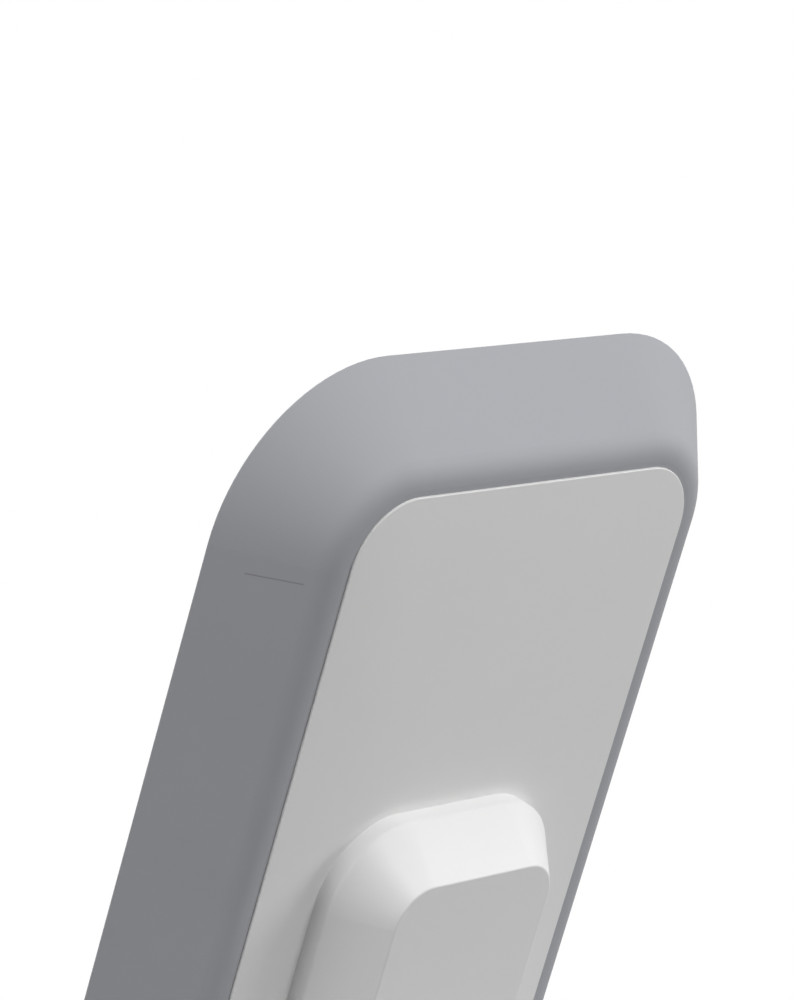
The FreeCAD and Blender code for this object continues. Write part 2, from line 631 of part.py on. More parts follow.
def on_arm(depth):
    # on the arm at a depth behind the pad's front edge, and outside the base
    level = -value(depth)
    low = value(base_top) + near

    def test(point):
        return abs(arm_frame.inverse().multVec(point).z - level) < near

    return lambda made: [
        name
        for name in edges_where(made, test)
        if name not in edges_where(made, lambda point: point.z < low)
    ]


def arm_root(point):
    # where the arm meets the base's top
    inside = abs(point.x) < value("arm_width / 2") + near
    short = abs(point.y) < value("base_length / 2 - base_slope_inset") - near
    return at_height(base_top)(point) and inside and short


arm_face = on_arm(f"{plate_back} + {arm_height}")
arm_crease = on_arm(f"{plate_back} + arm_wall_high")
made = chamfer(stand_shell, made, arm_face(made), "arm_slope_high", "arm_slope_inset")
made = fillet(stand_shell, made, arm_crease(made), "crease_soft")
made = fillet(stand_shell, made, arm_face(made), "edge_soft")
made = fillet(stand_shell, made, edges_where(made, arm_root), "arm_blend")
shoulder = edges_where(made, at_height("foot_high + base_wall_high"))
made = fillet(stand_shell, made, shoulder, "crease_soft")


def base_cavity(start):
    return ("0", "0", f"foot_high + {start}")


base_inside = [f"{size} - 2 * base_skin" for size in (base_width, "base_length")]
base_inside.append("base_corner - base_skin")
base_hollow = even_wall("base_wall_high", "base_slope_high", "base_slope_inset", "base_skin")
hollow(stand_shell, base_cavity, base_inside, *base_hollow, reverse=True)
channel_length = f"({arm_top} - arm_skin - channel_low)"
channel_middle = f"(channel_low + {channel_length} / 2)"


def channel(start):
    return pad_spot(channel_middle, f"{plate_back} + {start}")


channel_inside = ("arm_width - 2 * arm_skin", channel_length, "arm_corner - arm_skin")
arm_hollow = even_wall("arm_wall_high", "arm_slope_high", "arm_slope_inset", "arm_skin")
hollow(stand_shell, channel, channel_inside, *arm_hollow, turn="90 - lean")
boss_plane = pad_spot("0", f"{plate_back} + {arm_height} - arm_skin")
boss_sketch = new_sketch(stand_shell, boss_plane, "90 - lean")
pilot_sketch = new_sketch(stand_shell, pad_spot("0", plate_back), "90 - lean")
for x, y in arm_bosses:
    circle(boss_sketch, "arm_boss", x, y)
    circle(pilot_sketch, "arm_screw + 2 * pilot_room", x, y)
feature(stand_shell, "Pad", boss_sketch, f"{arm_height} - arm_skin")
feature(stand_shell, "Pocket", pilot_sketch, "arm_bite + screw_room")
passage_top = "channel_low + arm_slope_high"
passage = new_sketch(stand_shell, pad_spot(passage_top, lead_depth), "lean", axis=-along_x)
rounded_rectangle(passage, "passage_width", "passage_thick", "passage_corner")
feature(stand_shell, "Pocket", passage, f"{passage_top} + arm_sunk")
under_ceiling = ("0", "0", ceiling)
on_cover = ("0", "0", cover_top)
on_board = ("0", "0", board_high)
board_boss_high = f"{ceiling} - {board_high}"
base_boss_high = f"{ceiling} - {cover_top}"
circles(stand_shell, "Pad", under_ceiling, "boss_wide", board_bosses, board_boss_high, reverse=True)
circles(stand_shell, "Pad", under_ceiling, "base_boss", base_bosses, base_boss_high, reverse=True)
circles(stand_shell, "Pocket", on_board, pilot, board_bosses, "screw_bite + screw_room", reverse=True)
circles(stand_shell, "Pocket", on_cover, pilot, base_bosses, "base_bite + screw_room", reverse=True)
inlet_middle = f"({board_low} - inlet_high / 2)"
mouth = new_sketch(stand_shell, ("0", inlet_middle, "-base_length / 2"), plane="XZ_Plane")
mouth_sizes = [f"{size} + 2 * inlet_room" for size in ("inlet_width", "inlet_high")]
rounded_rectangle(mouth, *mouth_sizes, "inlet_corner + inlet_room")
feature(stand_shell, "Pocket", mouth, "base_skin + board_wall_gap", reverse=True)
guide_middle = f"({board_low} - guide_gap - guide_high / 2)"
window = new_sketch(stand_shell, ("0", guide_middle, "base_length / 2"), plane="XZ_Plane")
window_sizes = [f"{size} + 2 * fit_gap" for size in ("guide_width", "guide_high")]
rounded_rectangle(window, *window_sizes, "guide_corner + fit_gap")
feature(stand_shell, "Pocket", window, "base_skin + board_wall_gap")

# what closes the base from below, and what it stands on
base_cover = new_body("base_cover")
cover_outline = new_sketch(base_cover, ("0", "0", "foot_high"))
base_edge = "(base_skin + fit_gap)"
base_cover_sizes = [f"{size} - 2 * {base_edge}" for size in (base_width, "base_length")]
rounded_rectangle(cover_outline, *base_cover_sizes, f"base_corner - {base_edge}")
feature(base_cover, "Pad", cover_outline, "base_cover_thick")
under_base = ("0", "0", "foot_high")
feet = {
    f"foot_{end}_{side}": (f"{x} * {foot_x}", f"{y} * {foot_y}")
    for end, y in (("front", -1), ("rear", 1))
    for side, x in (("left", -1), ("right", 1))
}
circles(base_cover, "Pocket", under_base, head_hole, base_bosses, "small_head_high", reverse=True)
foot_hole = "foot_wide + 2 * fit_gap"
circles(base_cover, "Pocket", under_base, screw_hole, base_bosses, "base_cover_thick", reverse=True)
circles(base_cover, "Pocket", under_base, foot_hole, feet.values(), "foot_sunk", reverse=True)
for label, foot_at in feet.items():
    foot = new_body(label)
    made = circles(foot, "Pad", ("0", "0", "0"), "foot_wide", [foot_at], "foot_high + foot_sunk")
    fillet(foot, made, edges_where(made, at_height("0")), "edge_soft")
for side, sign in (("left", -1), ("right", 1)):
    ballast = new_body(f"ballast_{side}")
    bar = new_sketch(ballast, (f"{sign} * {ballast_x}", "0", cover_top))
    rounded_rectangle(bar, ballast_width, ballast_length, "ballast_corner")
    feature(ballast, "Pad", bar, "ballast_high")

# the control board hangs under the base's ceiling, with the power inlet below its rear edge
control_board = new_body("control_board")
board_outline = new_sketch(control_board, ("0", f"({board_rear} - {board_front}) / 2", board_low))
rounded_rectangle(board_outline, "board_width", f"{board_rear} + {board_front}", "board_corner")
feature(control_board, "Pad", board_outline, "board_thick")
circles(control_board, "Pocket", on_board, screw_hole, board_bosses, "board_thick")


def soldered(label, where, sizes, corner):
    # a rounded block on the board or under it
    width, length, high = sizes
    body = new_body(label)
    sketch = new_sketch(body, where)
    rounded_rectangle(sketch, width, length, corner)
    feature(body, "Pad", sketch, high)


inductor_sizes = ("inductor_side", "inductor_side", "inductor_high")
soldered("board_inductor", ("0", "inductor_y", board_high), inductor_sizes, "inductor_corner")
plug_sizes = ("plug_width", "plug_long", "plug_high")
lead_rise = f"({lead_height} - {pad_foot_z} + {lead_depth} * sin(lean * 1 deg))"
lead_corner_along = f"({lead_rise} / cos(lean * 1 deg))"
lead_corner = pad_spot(lead_corner_along, lead_depth)
plug_rear = f"({lead_corner[1]} - plug_room)"
soldered("lead_plug", ("0", f"{plug_rear} - plug_long / 2", board_high), plug_sizes, "plug_corner")
lamp_sizes = ("lamp_width", "lamp_long", "lamp_high")
lamp_at = ("0", f"lamp_long / 2 - {board_front}", f"{board_low} - lamp_high")
soldered("status_led", lamp_at, lamp_sizes, "lamp_corner")
chip_sizes = ("chip_side", "chip_side", "chip_thick")
chips = []
for number, sign in enumerate((-1, 1)):
    chip_at = (f"{sign} * chip_pitch / 2 - chip_side / 2", "chip_y - chip_side / 2", board_high)
    chips.append(block(f"chip_{number}", chip_sizes, chip_at))
group("board_chips", chips)
capacitor_sizes = ("capacitor_width", "capacitor_long", "capacitor_high")
capacitor_pitch = "(capacitor_width + capacitor_gap)"
capacitor_count = 4
capacitors = []
for number in range(capacitor_count):
    capacitor_x = f"{number - capacitor_count / 2} * {capacitor_pitch} + capacitor_gap / 2"
    capacitor_at = (capacitor_x, "capacitor_y", board_high)
    capacitors.append(block(f"capacitor_{number}", capacitor_sizes, capacitor_at))
group("board_capacitors", capacitors)

light_guide = new_body("light_guide")
guide_end = new_sketch(light_guide, ("0", guide_middle, "base_length / 2"), plane="XZ_Plane")
rounded_rectangle(guide_end, "guide_width", "guide_high", "guide_corner")
feature(light_guide, "Pad", guide_end, "board_front_gap - guide_gap", reverse=True)

inlet_mouth = "(base_length / 2 - inlet_sunk)"
inlet_socket = new_body("inlet_socket")
can = new_sketch(inlet_socket, ("0", inlet_middle, f"-{inlet_mouth}"), plane="XZ_Plane")
rounded_rectangle(can, "inlet_width", "inlet_high", "inlet_corner")
feature(inlet_socket, "Pad", can, "inlet_long")
throat = new_sketch(inlet_socket, ("0", inlet_middle, f"-{inlet_mouth}"), plane="XZ_Plane")
throat_sizes = [f"{size} - 2 * inlet_skin" for size in ("inlet_width", "inlet_high")]
rounded_rectangle(throat, *throat_sizes, "inlet_corner - inlet_skin")
throat_deep = "(inlet_long - 2 * inlet_skin)"
feature(inlet_socket, "Pocket", throat, throat_deep, reverse=True)
inlet_tongue = new_body("inlet_tongue")
blade = new_sketch(inlet_tongue, ("0", inlet_middle, f"-({inlet_mouth} - {throat_deep})"), plane="XZ_Plane")
rounded_rectangle(blade, "tongue_width", "tongue_thick", "tongue_corner")
feature(inlet_tongue, "Pad", blade, f"{throat_deep} - tongue_short", reverse=True)

# the lead from the board up the arm's channel and into the pad
coil_plug = new_body("coil_plug", pad_frame)
plug_end = new_sketch(coil_plug, ("0", lead_exit, f"-{spreader_back}"))
rounded_rectangle(plug_end, "plug_width", "plug_long", "plug_corner")
feature(coil_plug, "Pad", plug_end, "coil_plug_high", reverse=True)


def rounded_route(points, radii):
    # straight runs joined by tangent arcs
    edges = []
    start = points[0]
    for before, corner, after, radius in zip(points, points[1:], points[2:], radii):
        back = (before - corner).normalize()
        ahead = (after - corner).normalize()
        half = (math.pi - back.getAngle(ahead)) / 2
        reach = radius * math.tan(half)
        inward = (back + ahead).normalize()
        middle = corner + inward * (radius / math.cos(half) - radius)
        edges.append(Part.LineSegment(start, corner + back * reach).toShape())
        edges.append(Part.Arc(corner + back * reach, middle, corner + ahead * reach).toShape())
        start = corner + ahead * reach
    edges.append(Part.LineSegment(start, points[-1]).toShape())
    return Part.Wire(edges)


lead_points = [
    spot(("0", plug_rear, lead_height)),
    spot(lead_corner),
    spot(pad_spot(lead_exit, lead_depth)),
    spot(pad_spot(lead_exit, f"{spreader_back} + coil_plug_high")),
]
route = rounded_route(lead_points, [value("lead_bend_low"), value("lead_bend_high")])
lead_round = Part.Circle(lead_points[0], lead_points[1] - lead_points[0], value("lead_wide / 2"))
section = Part.Wire(lead_round.toShape())
inner_lead = doc.addObject("Part::Feature", "inner_lead")
inner_lead.Label = "inner_lead"
inner_lead.Shape = route.makePipeShell([section], True, False)

board_shank = "board_thick + screw_bite"
screws("board_screws", board_bosses, board_shank, board_low, small_sizes, downward=False)
base_shank = "base_cover_thick - small_head_high + base_bite"
screws("base_screws", base_bosses, base_shank, "(foot_high + small_head_high)", small_sizes, downward=False)

doc.recompute()
for item in doc.Objects:
    if "Invalid" in item.State or "Error" in item.State:
        raise RuntimeError(f"{item.Label} failed: {item.State}")
kinds = ("PartDesign::Body", "Part::Compound", "Part::Feature")
sub_parts = [item for item in doc.Objects if item.TypeId in kinds]
for item in sub_parts:
    if item.Shape.isNull() or not item.Shape.isValid():
        raise RuntimeError(f"{item.Label} has no valid shape")
os.makedirs("parts", exist_ok=True)
for item in sub_parts:
    item.Shape.exportStep(os.path.join("parts", f"{item.Label}.step"))
    print(item.Label, len(item.Shape.Solids), "solids", round(item.Shape.Volume, 1), "mm3")
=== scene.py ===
import bpy
import json
import math
from mathutils import Matrix, Quaternion, Vector


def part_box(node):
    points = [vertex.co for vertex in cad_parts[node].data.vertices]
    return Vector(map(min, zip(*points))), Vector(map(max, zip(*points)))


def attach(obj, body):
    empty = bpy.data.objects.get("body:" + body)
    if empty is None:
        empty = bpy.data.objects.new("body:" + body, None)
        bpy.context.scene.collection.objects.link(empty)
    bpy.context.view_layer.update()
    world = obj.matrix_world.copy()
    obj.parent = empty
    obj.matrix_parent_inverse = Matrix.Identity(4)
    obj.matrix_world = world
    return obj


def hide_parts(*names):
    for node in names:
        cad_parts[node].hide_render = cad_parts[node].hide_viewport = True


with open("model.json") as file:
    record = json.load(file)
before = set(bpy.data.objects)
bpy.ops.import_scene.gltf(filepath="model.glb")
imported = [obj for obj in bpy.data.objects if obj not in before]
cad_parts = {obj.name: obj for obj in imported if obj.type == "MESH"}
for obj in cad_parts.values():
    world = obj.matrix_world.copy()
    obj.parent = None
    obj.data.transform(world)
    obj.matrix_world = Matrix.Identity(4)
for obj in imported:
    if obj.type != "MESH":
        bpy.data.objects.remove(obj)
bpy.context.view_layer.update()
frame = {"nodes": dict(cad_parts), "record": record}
nodes = frame["nodes"]
print("stage: CAD frame loaded,", len(nodes), "nodes")

millimetre = 0.001
noiseMean = 0.5
noiseSpan = (0.3, 0.7)  # most of a noise's values lie between these


# shader maths: a socket that takes plus, minus and times
class Shade:
    def __init__(self, tree, socket=None):
        self.tree = tree
        self.socket = socket

    def node(self, kind, settings=None, inputs=None, out=0):
        made = self.tree.nodes.new(kind)
        for name, setting in (settings or {}).items():
            setattr(made, name, setting)
        for name, value in (inputs or {}).items():
            socket = made.inputs[name]
            if isinstance(value, Shade):
                self.tree.links.new(value.socket, socket)
            else:
                socket.default_value = value
        return Shade(self.tree, made.outputs[out])

    def sum(self, operation, first, second=0.0):
        return self.node("ShaderNodeMath", {"operation": operation}, {0: first, 1: second})

    def __add__(self, other):
        return self.sum("ADD", self, other)

    def __sub__(self, other):
        return self.sum("SUBTRACT", self, other)

    def __rsub__(self, other):
        return self.sum("SUBTRACT", other, self)

    def __mul__(self, other):
        return self.sum("MULTIPLY", self, other)

    __radd__ = __add__
    __rmul__ = __mul__

    def smooth(self, low, high):
        # 0 below low, 1 above high, soft between them
        settings = {"interpolation_type": "SMOOTHSTEP"}
        return self.node("ShaderNodeMapRange", settings, {"Value": self, "From Min": low, "From Max": high})

    def mix(self, first, second):
        # a colour between two, this value is the share of the second
        return self.node("ShaderNodeMix", {"data_type": "RGBA"}, {0: self, 6: first, 7: second}, out=2)

    def vector(self, operation, first, second=None, out=0):
        inputs = {0: first}
        if second is not None:
            inputs["Scale" if operation == "SCALE" else 1] = second
        return self.node("ShaderNodeVectorMath", {"operation": operation}, inputs, out)


def colour(tone, share=1.0):
    # a tone as a colour, darkened to that share
    return (*(part * share for part in tone), 1.0)


def newSurface(name):
    material = bpy.data.materials.new(name)
    material.use_nodes = True
    tree = material.node_tree
    tree.nodes.clear()
    return material, Shade(tree)


def closeSurface(material, shade, inputs):
    surface = shade.node("ShaderNodeBsdfPrincipled", None, inputs)
    output = shade.tree.nodes.new("ShaderNodeOutputMaterial")
    shade.tree.links.new(surface.socket, output.inputs["Surface"])
    return material


def spotOn(shade):
    return shade.node("ShaderNodeTexCoord", None, None, "Object")


def grain(shade, size, detail=2.0, stretch=None):
    # even noise with grains of that many millimetres, about 0 to 1, drawn out along an axis by stretch
    place = spotOn(shade)
    if stretch:
        place = shade.vector("MULTIPLY", place, stretch)
    inputs = {"Vector": place, "Scale": 1.0 / (size * millimetre), "Detail": detail, "Roughness": 0.5}
    return shade.node("ShaderNodeTexNoise", {"noise_dimensions": "3D"}, inputs, "Fac")


def bumped(shade, height, depth):
    # depth in millimetres where the height is 1
    inputs = {"Height": height, "Strength": 1.0, "Distance": depth * millimetre}
    return shade.node("ShaderNodeBump", None, inputs)


# the pad's own axes, from the two coils that lie on its middle line
coilSpots = {side: sum(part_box("coil_" + side), Vector()) / 2 for side in ("upper", "lower")}
padMiddle = (coilSpots["upper"] + coilSpots["lower"]) / 2
padUp = (coilSpots["upper"] - coilSpots["lower"]).normalized()
padAcross = Vector((1, 0, 0))
padFront = padAcross.cross(padUp)
coilReach = (coilSpots["upper"] - padMiddle).length

# finishes: sizes and depths in millimetres
shellLook = {
    "tone": (0.406, 0.412, 0.437),
    "shade": 0.975,  # tone of the flow's darker parts
    "markTone": (0.25, 0.25, 0.26),
    "roughness": 0.6,
    "roughnessSwing": 0.08,
    "sparkSize": 0.22,
    "sparkDepth": 0.004,
    "flowSize": 14,
    "flowShare": 0.7,
    "gloss": 0.12,
}
whiteLook = {
    "tone": (0.800, 0.800, 0.797),
    "shade": 0.985,
    "roughness": 0.42,
    "roughnessSwing": 0.06,
    "sparkSize": 0.2,
    "sparkDepth": 0.003,
    "flowSize": 18,
    "flowShare": 0.7,
    "gloss": 0.33,
}
faceLook = {
    **whiteLook,
    "tone": (0.385, 0.391, 0.410),
    "roughness": 0.58,
    "sparkSize": 0.16,
    "sparkDepth": 0.005,
}
coverLook = {
    **whiteLook,
    "tone": (0.760, 0.760, 0.752),
    "roughness": 0.62,
    "sparkSize": 0.42,
    "sparkDepth": 0.02,
}
trayLook = {**coverLook, "tone": (0.050, 0.050, 0.055), "roughness": 0.6, "sparkSize": 0.3}
tongueLook = {**whiteLook, "tone": (0.040, 0.040, 0.045)}
plugLook = {**whiteLook, "tone": (0.790, 0.770, 0.690), "shade": 0.94, "flowSize": 4}
chipLook = {
    **coverLook,
    "tone": (0.030, 0.030, 0.032),
    "roughness": 0.5,
    "sparkSize": 0.12,
    "sparkDepth": 0.004,
}


def mouldedPlastic(name, look, mark=None):
    # satin moulding: fine spark texture, faint flow of tone, roughness that wanders a little
    material, shade = newSurface(name)
    spark = grain(shade, look["sparkSize"])
    flow = grain(shade, look["flowSize"], detail=3.0)
    flowShare = look["flowShare"]
    tint = flow.smooth(*noiseSpan) * flowShare + spark.smooth(*noiseSpan) * (1 - flowShare)
    base = tint.mix(colour(look["tone"], look["shade"]), colour(look["tone"]))
    if mark:
        base = mark(shade).mix(base, colour(look["markTone"]))
    rough = look["roughness"] + (spark + flow - 2 * noiseMean) * look["roughnessSwing"]
    bump = bumped(shade, spark, look["sparkDepth"])
    inputs = {"Base Color": base, "Roughness": rough, "Normal": bump, "Specular IOR Level": look["gloss"]}
    return closeSurface(material, shade, inputs)


hairline = {
    "start": Vector((37.42, 17.28, 116.54)) * millimetre,
    "end": Vector((32.86, 21.54, 115.24)) * millimetre,
    "core": 0.036 * millimetre,
    "width": 0.12 * millimetre,
    "strength": 0.75,
}


def hairlineMark(shade):
    # a faint witness line across the flank, by distance from a short straight run
    run = hairline["end"] - hairline["start"]
    away = shade.vector("SUBTRACT", spotOn(shade), hairline["start"])
    along = shade.vector("DOT_PRODUCT", away, run / run.length_squared, "Value")
    along = shade.node("ShaderNodeClamp", None, {"Value": along})
    spot = shade.vector("SCALE", run, along)
    gap = shade.vector("DISTANCE", away, spot, "Value")
    return (1.0 - gap.smooth(hairline["core"], hairline["width"])) * hairline["strength"]


rubberLook = {
    "roughnessSwing": 0.1,
    "dustSpan": (0.45, 0.75),
    "dustRoughness": 0.06,
    "gloss": 0.3,
    "sheenRoughness": 0.5,
}
gripLook = {
    **rubberLook,
    "tone": (0.300, 0.303, 0.312),
    "dustTone": (0.360, 0.362, 0.370),
    "dustShare": 0.35,
    "roughness": 0.74,
    "pebbleSize": 0.15,
    "pebbleDepth": 0.004,
    "dustSize": 6,
    "sheen": 0.08,
}
footLook = {
    **rubberLook,
    "tone": (0.105, 0.105, 0.110),
    "dustTone": (0.190, 0.188, 0.185),
    "dustShare": 0.4,
    "roughness": 0.8,
    "pebbleSize": 0.2,
    "pebbleDepth": 0.008,
    "dustSize": 3,
    "sheen": 0.05,
}
leadLook = {**footLook, "tone": (0.055, 0.055, 0.060), "roughness": 0.55, "dustShare": 0.2}


def softRubber(name, look):
    # matt skin with a fine pebble and paler dusty patches
    material, shade = newSurface(name)
    pebble = grain(shade, look["pebbleSize"])
    dust = grain(shade, look["dustSize"], detail=4.0).smooth(*look["dustSpan"])
    base = (dust * look["dustShare"]).mix(colour(look["tone"]), colour(look["dustTone"]))
    rough = look["roughness"] + (pebble - noiseMean) * look["roughnessSwing"] + dust * look["dustRoughness"]
    inputs = {
        "Base Color": base,
        "Roughness": rough,
        "Normal": bumped(shade, pebble, look["pebbleDepth"]),
        "Specular IOR Level": look["gloss"],
        "Sheen Weight": look["sheen"],
        "Sheen Roughness": look["sheenRoughness"],
    }
    return closeSurface(material, shade, inputs)


steelLook = {
    "tone": (0.620, 0.620, 0.625),
    "dull": (0.520, 0.520, 0.525),
    "roughness": 0.32,
    "roughnessSwing": 0.16,
    "lineSize": 0.2,
    "lineDepth": 0.003,
    "cloudSize": 3,
    "stretch": (1, 1, 1),
}
inletLook = {
    **steelLook,
    "tone": (0.720, 0.712, 0.700),
    "dull": (0.640, 0.632, 0.620),
    "stretch": (1, 0.1, 1),
}
ballastLook = {
    **steelLook,
    "tone": (0.500, 0.500, 0.508),
    "dull": (0.380, 0.378, 0.380),
    "stretch": (1, 0.03, 1),
}
sheetLook = {
    **steelLook,
    "tone": (0.810, 0.812, 0.820),
    "dull": (0.730, 0.732, 0.740),
    "stretch": (1, 0.04, 0.04),
}


def sheetMetal(name, look):
    # rolled or plated metal: fine lines along the rolling direction, slightly clouded
    material, shade = newSurface(name)
    lines = grain(shade, look["lineSize"], detail=3.0, stretch=look["stretch"])
    cloud = grain(shade, look["cloudSize"], detail=3.0)
    both = lines + cloud
    base = (both * 0.5).smooth(*noiseSpan).mix(colour(look["dull"]), colour(look["tone"]))
    rough = look["roughness"] + (both - 2 * noiseMean) * look["roughnessSwing"]
    bump = bumped(shade, lines, look["lineDepth"])
    inputs = {"Base Color": base, "Roughness": rough, "Normal": bump, "Metallic": 1.0}
    return closeSurface(material, shade, inputs)


copperLook = {
    "tone": (0.740, 0.400, 0.240),
    # groove: painted shade, the darker colour painted into the gaps between the wire's turns
    "groove": (0.330, 0.130, 0.060),
    "grooveShadeSpan": (0.05, 0.6),
    "wirePitch": 0.55,
    "wireDepth": 0.12,
    "roughness": 0.3,
    "roughnessSwing": 0.12,
    "enamelSize": 0.8,
    "enamelCoat": 0.4,
    "metal": 0.9,
}


def woundCopper(name, look):
    # enamelled wire laid in rings round each coil's middle, the two coils fold onto one; the gaps between the
    # turns are painted darker, as painted shade
    material, shade = newSurface(name)
    away = shade.vector("SUBTRACT", spotOn(shade), padMiddle)
    along = shade.sum("ABSOLUTE", shade.vector("DOT_PRODUCT", away, padUp, "Value")) - coilReach
    across = shade.vector("DOT_PRODUCT", away, padAcross, "Value")
    radius = shade.sum("SQRT", along * along + across * across)
    halfTurn = math.pi / (look["wirePitch"] * millimetre)
    wire = shade.sum("ABSOLUTE", shade.sum("SINE", radius * halfTurn))
    enamel = grain(shade, look["enamelSize"])
    inputs = {
        # the wire's profile turns the colour dark towards the gaps between turns: painted shade
        "Base Color": wire.smooth(*look["grooveShadeSpan"]).mix(colour(look["groove"]), colour(look["tone"])),
        "Roughness": look["roughness"] + (enamel - noiseMean) * look["roughnessSwing"],
        "Normal": bumped(shade, wire, look["wireDepth"]),
        "Metallic": look["metal"],
        "Coat Weight": look["enamelCoat"],
    }
    return closeSurface(material, shade, inputs)


ferriteLook = {
    "tone": (0.066, 0.065, 0.068),
    "dark": (0.045, 0.045, 0.048),
    "speck": (0.140, 0.138, 0.140),
    "speckSpan": (0.68, 0.78),
    "speckShare": 0.6,
    "roughness": 0.62,
    "roughnessSwing": 0.2,
    "grainSize": 0.3,
    "grainDepth": 0.02,
    "speckSize": 0.18,
}
inductorLook = {
    **ferriteLook,
    "tone": (0.115, 0.115, 0.122),
    "dark": (0.080, 0.080, 0.086),
    "grainSize": 0.2,
}


def pressedPowder(name, look):
    # pressed and fired powder: dark, dry, with pale specks
    material, shade = newSurface(name)
    dry = grain(shade, look["grainSize"], detail=4.0)
    speck = grain(shade, look["speckSize"]).smooth(*look["speckSpan"])
    base = dry.smooth(*noiseSpan).mix(colour(look["dark"]), colour(look["tone"]))
    base = (speck * look["speckShare"]).mix(base, colour(look["speck"]))
    rough = look["roughness"] + (dry - noiseMean) * look["roughnessSwing"]
    bump = bumped(shade, dry, look["grainDepth"])
    return closeSurface(material, shade, {"Base Color": base, "Roughness": rough, "Normal": bump})


boardLook = {
    "tone": (0.020, 0.150, 0.065),
    "track": (0.036, 0.235, 0.105),
    "trackPitch": 1.4,
    "trackSpan": (0.45, 0.6),
    "trackDepth": 0.03,
    "patchSize": 5,  # patches whose tracks run the same way
    "patchSpan": (0.49, 0.51),
    "weaveSize": 0.35,
    "weaveDepth": 0.004,
    "roughness": 0.3,
    "roughnessSwing": 0.12,
}


def solderMask(name, look):
    # green lacquer over tracks: paler bands at right angles, and the glass cloth's faint weave
    material, shade = newSurface(name)
    patch = grain(shade, look["patchSize"]).smooth(*look["patchSpan"])
    turn = 2 * math.pi / (look["trackPitch"] * millimetre)
    bands = []
    for axis in "XY":
        place = shade.node("ShaderNodeSeparateXYZ", None, {0: spotOn(shade)}, axis)
        bands.append(shade.sum("SINE", place * turn).smooth(*look["trackSpan"]))
    track = bands[0] * patch + bands[1] * (1.0 - patch)
    weave = grain(shade, look["weaveSize"])
    base = track.mix(colour(look["tone"]), colour(look["track"]))
    rough = look["roughness"] + (weave - noiseMean) * look["roughnessSwing"]
    bump = bumped(shade, track * look["trackDepth"] + weave * look["weaveDepth"], 1.0)
    return closeSurface(material, shade, {"Base Color": base, "Roughness": rough, "Normal": bump})


filmLook = {
    "tone": (0.500, 0.115, 0.048),
    "dark": (0.400, 0.080, 0.035),
    "roughness": 0.22,
    "roughnessSwing": 0.1,
    "waveSize": 1.6,
    "waveDepth": 0.06,
    "lacquer": 0.5,
}


def dippedFilm(name, look):
    # lacquer dip: rounded waves under a clear gloss
    material, shade = newSurface(name)
    wave = grain(shade, look["waveSize"], detail=1.0)
    inputs = {
        "Base Color": wave.smooth(*noiseSpan).mix(colour(look["dark"]), colour(look["tone"])),
        "Roughness": look["roughness"] + (wave - noiseMean) * look["roughnessSwing"],
        "Normal": bumped(shade, wave, look["waveDepth"]),
        "Coat Weight": look["lacquer"],
    }
    return closeSurface(material, shade, inputs)


lampLook = {
    "tone": (0.860, 0.850, 0.740),
    "shade": 0.94,
    "roughness": 0.16,
    "hazeSize": 0.5,
    "hazeDepth": 0.01,
    "hazeRoughness": 0.15,
    "clear": 0.6,
}
guideLook = {**lampLook, "tone": (0.860, 0.890, 0.910), "roughness": 0.34, "hazeSize": 1.2, "clear": 0.5}


def clearMoulding(name, look):
    # clear resin, frosted a little where light leaves it
    material, shade = newSurface(name)
    haze = grain(shade, look["hazeSize"], detail=3.0)
    inputs = {
        "Base Color": haze.smooth(*noiseSpan).mix(colour(look["tone"], look["shade"]), colour(look["tone"])),
        "Roughness": look["roughness"] + haze * look["hazeRoughness"],
        "Normal": bumped(shade, haze, look["hazeDepth"]),
        "Transmission Weight": look["clear"],
    }
    return closeSurface(material, shade, inputs)


finishes = {
    "shell_grey": mouldedPlastic("shellGrey", shellLook, hairlineMark),
    "face_grey": mouldedPlastic("faceGrey", faceLook),
    "white_plastic": mouldedPlastic("whitePlastic", whiteLook),
    "cover_white": mouldedPlastic("coverWhite", coverLook),
    "grip_rubber": softRubber("gripRubber", gripLook),
    "foot_rubber": softRubber("footRubber", footLook),
    "tray_plastic": mouldedPlastic("trayPlastic", trayLook),
    "ferrite": pressedPowder("ferrite", ferriteLook),
    "copper": woundCopper("woundCopper", copperLook),
    "aluminium": sheetMetal("rolledAluminium", sheetLook),
    "ballast_steel": sheetMetal("barSteel", ballastLook),
    "screw_steel": sheetMetal("platedSteel", steelLook),
    "board_green": solderMask("solderMask", boardLook),
    "chip_black": mouldedPlastic("chipBlack", chipLook),
    "inductor_grey": pressedPowder("inductorGrey", inductorLook),
    "capacitor_film": dippedFilm("dippedFilm", filmLook),
    "lamp_clear": clearMoulding("lampClear", lampLook),
    "guide_clear": clearMoulding("guideClear", guideLook),
    "inlet_steel": sheetMetal("inletNickel", inletLook),
    "tongue_plastic": mouldedPlastic("tonguePlastic", tongueLook),
    "plug_plastic": mouldedPlastic("plugPlastic", plugLook),
    "lead_jacket": softRubber("leadJacket", leadLook),
}
for entry in frame["record"]["subparts"]:
    node = nodes[entry["node"]]
    node.data.materials.clear()
    node.data.materials.append(finishes[entry["material_slot"]])
print("stage:", len(finishes), "finishes made")

facing = 0.9  # share of a normal along an axis from which a face counts as facing it
near = 0.02 * millimetre  # points closer than this to a line or level lie on it
smoothAngle = math.radians(35)


def pick(piece, kind, test):
    # back in edit mode with only the edges or faces that pass the test selected
    bpy.ops.object.mode_set(mode="OBJECT")
    mesh = piece.data
    for part in (*mesh.vertices, *mesh.edges, *mesh.polygons):
        part.select = False
    bpy.context.tool_settings.mesh_select_mode = (False, kind == "edges", kind == "faces")
    if kind == "faces":
        for face in mesh.polygons:
            face.select = test(face)
    else:
        for edge in mesh.edges:
            edge.select = all(test(mesh.vertices[end].co) for end in edge.vertices)
    bpy.ops.object.mode_set(mode="EDIT")


